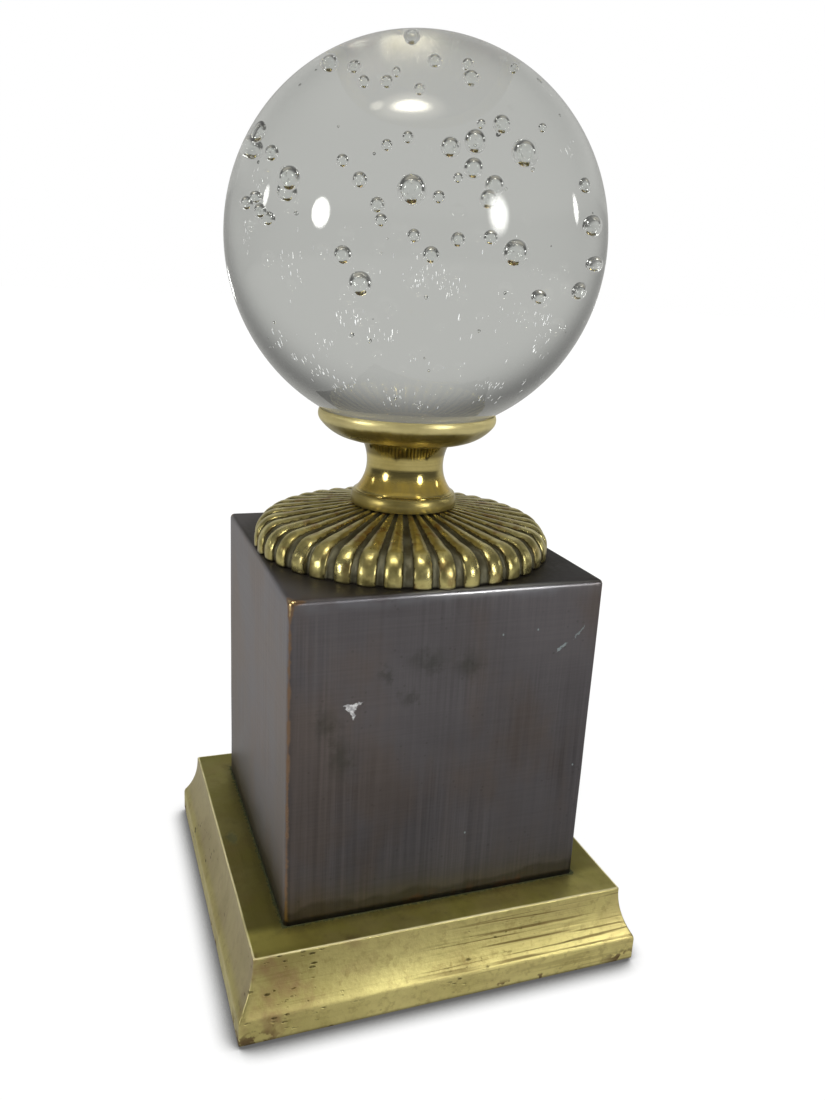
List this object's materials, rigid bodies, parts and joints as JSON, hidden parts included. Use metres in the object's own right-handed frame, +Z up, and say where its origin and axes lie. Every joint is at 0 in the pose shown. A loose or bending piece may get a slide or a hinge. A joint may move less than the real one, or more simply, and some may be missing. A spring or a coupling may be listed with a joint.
{
  "type": "crystal ball on pedestal",
  "caption": "Clear bubble-glass ball resting in a brass cup, on a waisted neck, a ribbed disc, a dark bronze block and a moulded brass plinth.",
  "frame": {"origin": "middle of the felt's underside, where the pedestal stands on a table", "axes": "+Z up along the tie rod and through the ball's centre, +X and +Y along the sides of the square plinth; the front face looks to -Y"},
  "size_m": [0.1136, 0.1136, 0.2452],
  "materials": {
    "clear_glass": "polished, with trapped bubbles",
    "seat_leather": "natural",
    "cup_brass": "satin, aged",
    "neck_brass": "polished, aged",
    "disc_brass": "worn ribs, dark grooves",
    "dark_bronze": "dark brown patina, brushed",
    "plinth_brass": "antiqued, brushed",
    "zinc_steel": "zinc plated",
    "spring_steel": "blackened",
    "plate_steel": "mill finish",
    "screw_steel": "brass plated",
    "green_felt": "felt"
  },
  "bodies": {
    "stand": {"ball_seat": "seat_leather", "ball_cup": "cup_brass", "neck_spool": "neck_brass", "neck_ring": "neck_brass", "fluted_disc": "disc_brass", "block_shell": "dark_bronze", "plinth": "plinth_brass", "tie_rod": "zinc_steel", "rod_washer": "zinc_steel", "rod_lock_washer": "spring_steel", "rod_nut": "zinc_steel", "base_plate": "plate_steel", "base_screws": "screw_steel", "base_felt": "green_felt"},
    "ball": {"glass_ball": "clear_glass"}
  },
  "joints": [
    {"name": "ball_lift", "type": "slide", "parent": "stand", "child": "ball", "axis": [0, 0, 1], "range_m": [0, 0.06]}
  ]
}
